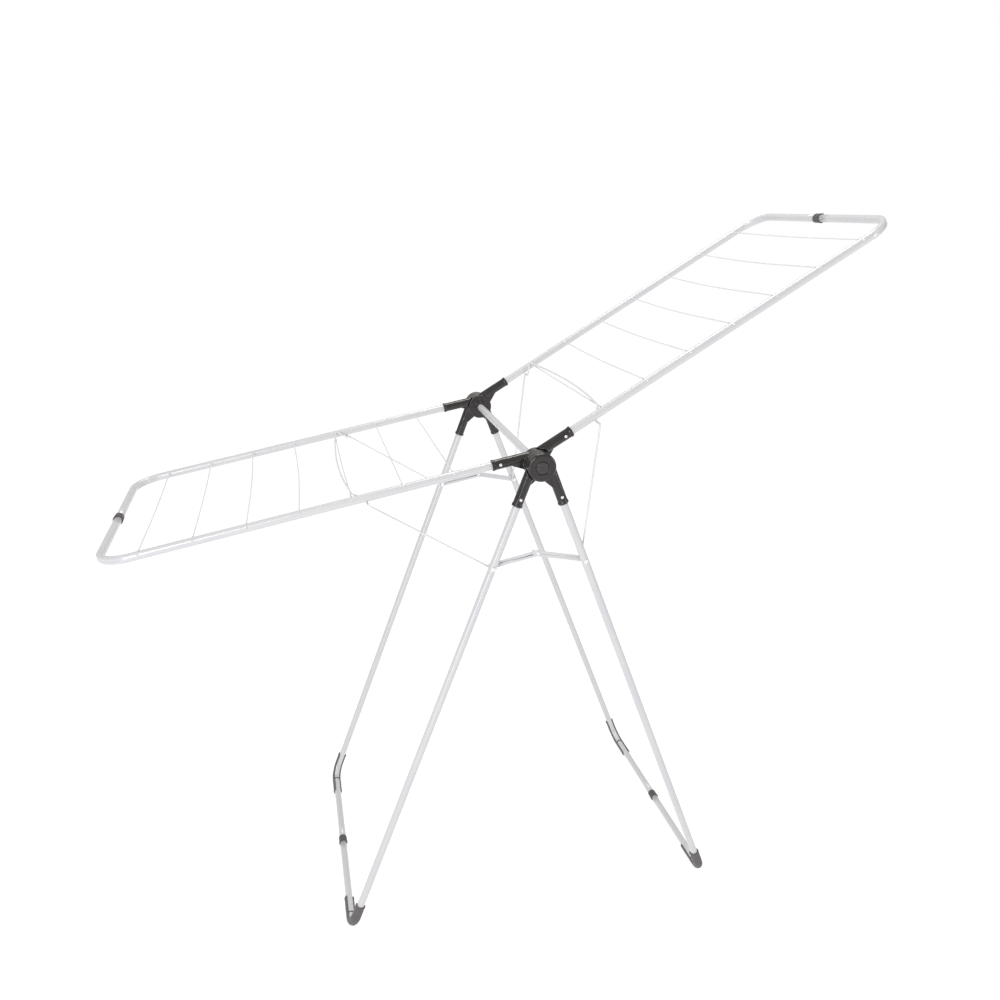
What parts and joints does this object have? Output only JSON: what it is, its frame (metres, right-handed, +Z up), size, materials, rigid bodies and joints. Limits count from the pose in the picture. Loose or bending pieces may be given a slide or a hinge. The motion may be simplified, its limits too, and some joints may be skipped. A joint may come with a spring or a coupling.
{
  "type": "clothes drying rack",
  "caption": "Folding clothes airer with two hinged wings of wire rungs on splayed U-shaped tube legs, wire props and folding struts.",
  "frame": {"origin": "on the floor, midway between the ends of the two wings and between front and back", "axes": "+X from the left leg to the right one, across the hub axis; +Y along the hub axis to the back; +Z up"},
  "size_m": [1.5448, 0.6282, 1.4809],
  "materials": {
    "coated_tube": "satin light grey powder coat",
    "coated_wire": "satin light grey coated wire",
    "coated_bar": "satin light grey powder coat",
    "hub_plastic": "glossy charcoal moulded plastic",
    "grey_plastic": "matt dark grey moulded plastic",
    "bright_steel": "bright zinc-plated steel"
  },
  "bodies": {
    "left_leg": {"cross_tube": "coated_tube", "hub_cap_front": "hub_plastic", "hub_cap_back": "hub_plastic", "strut_spacers": "bright_steel", "left_leg_coupler": "grey_plastic", "left_leg_rivets": "bright_steel", "left_pivot_bolts": "bright_steel", "left_leg_tube_front": "coated_tube", "left_leg_hub_front": "hub_plastic", "left_shoe_front": "grey_plastic", "left_leg_tube_back": "coated_tube", "left_leg_hub_back": "hub_plastic", "left_shoe_back": "grey_plastic"},
    "right_leg": {"right_leg_coupler": "grey_plastic", "right_leg_rivets": "bright_steel", "right_pivot_bolts": "bright_steel", "right_leg_tube_front": "coated_tube", "right_leg_hub_front": "hub_plastic", "right_shoe_front": "grey_plastic", "right_leg_tube_back": "coated_tube", "right_leg_hub_back": "hub_plastic", "right_shoe_back": "grey_plastic"},
    "left_wing": {"left_wing_coupler": "grey_plastic", "left_wing_rivets": "bright_steel", "left_rung_1": "coated_wire", "left_rung_2": "coated_wire", "left_rung_3": "coated_wire", "left_rung_4": "coated_wire", "left_rung_5": "coated_wire", "left_rung_6": "coated_wire", "left_rung_7": "coated_wire", "left_wing_tube_front": "coated_tube", "left_wing_hub_front": "hub_plastic", "left_wing_tube_back": "coated_tube", "left_wing_hub_back": "hub_plastic"},
    "right_wing": {"right_wing_coupler": "grey_plastic", "right_wing_rivets": "bright_steel", "right_rung_1": "coated_wire", "right_rung_2": "coated_wire", "right_rung_3": "coated_wire", "right_rung_4": "coated_wire", "right_rung_5": "coated_wire", "right_rung_6": "coated_wire", "right_rung_7": "coated_wire", "right_wing_tube_front": "coated_tube", "right_wing_hub_front": "hub_plastic", "right_wing_tube_back": "coated_tube", "right_wing_hub_back": "hub_plastic"},
    "left_prop": {"left_prop": "coated_wire"},
    "right_prop": {"right_prop": "coated_wire"},
    "left_strut_front": {"left_strut_front": "coated_bar", "left_knuckle_pin_front": "bright_steel"},
    "left_strut_back": {"left_strut_back": "coated_bar", "left_knuckle_pin_back": "bright_steel"},
    "right_strut_front": {"right_strut_front": "coated_bar", "right_knuckle_pin_front": "bright_steel"},
    "right_strut_back": {"right_strut_back": "coated_bar", "right_knuckle_pin_back": "bright_steel"}
  },
  "joints": [
    {"name": "leg_fold", "type": "hinge", "parent": "left_leg", "child": "right_leg", "pos_m": [0.0558, 0, 1.03473], "axis": [0, 1, 0], "range_deg": [0, 38.4]},
    {"name": "left_wing_fold", "type": "hinge", "parent": "left_leg", "child": "left_wing", "pos_m": [0.0558, 0, 1.03473], "axis": [0, 1, 0], "range_deg": [-57.9, 0]},
    {"name": "left_prop_swing", "type": "hinge", "parent": "left_leg", "child": "left_prop", "pos_m": [-0.03867, 0, 0.83541], "axis": [0, 1, 0], "range_deg": [-102.71, 0]},
    {"name": "left_strut_front_swing", "type": "hinge", "parent": "left_leg", "child": "left_strut_front", "pos_m": [-0.03867, 0, 0.83541], "axis": [0, 1, 0], "range_deg": [-45.3, 0]},
    {"name": "left_strut_back_swing", "type": "hinge", "parent": "left_leg", "child": "left_strut_back", "pos_m": [-0.03867, 0, 0.83541], "axis": [0, 1, 0], "range_deg": [-45.3, 0]},
    {"name": "right_wing_fold", "type": "hinge", "parent": "right_leg", "child": "right_wing", "pos_m": [0.0558, 0, 1.03473], "axis": [0, 1, 0], "range_deg": [0, 99.38]},
    {"name": "right_prop_swing", "type": "hinge", "parent": "right_leg", "child": "right_prop", "pos_m": [0.15028, 0, 0.83541], "axis": [0, 1, 0], "range_deg": [0, 156.1]},
    {"name": "right_strut_front_swing", "type": "hinge", "parent": "right_leg", "child": "right_strut_front", "pos_m": [0.15028, 0, 0.83541], "axis": [0, 1, 0], "range_deg": [0, 45.3]},
    {"name": "right_strut_back_swing", "type": "hinge", "parent": "right_leg", "child": "right_strut_back", "pos_m": [0.15028, 0, 0.83541], "axis": [0, 1, 0], "range_deg": [0, 45.3]}
  ],
  "couplings": [
    {"joint": "left_prop_swing", "follows": "left_wing_fold", "ratio": 1.7706},
    {"joint": "left_strut_front_swing", "follows": "leg_fold", "ratio": -1.1774},
    {"joint": "left_strut_back_swing", "follows": "leg_fold", "ratio": -1.1774},
    {"joint": "right_prop_swing", "follows": "right_wing_fold", "ratio": 1.5676},
    {"joint": "right_strut_front_swing", "follows": "leg_fold", "ratio": 1.1774},
    {"joint": "right_strut_back_swing", "follows": "leg_fold", "ratio": 1.1774}
  ]
}
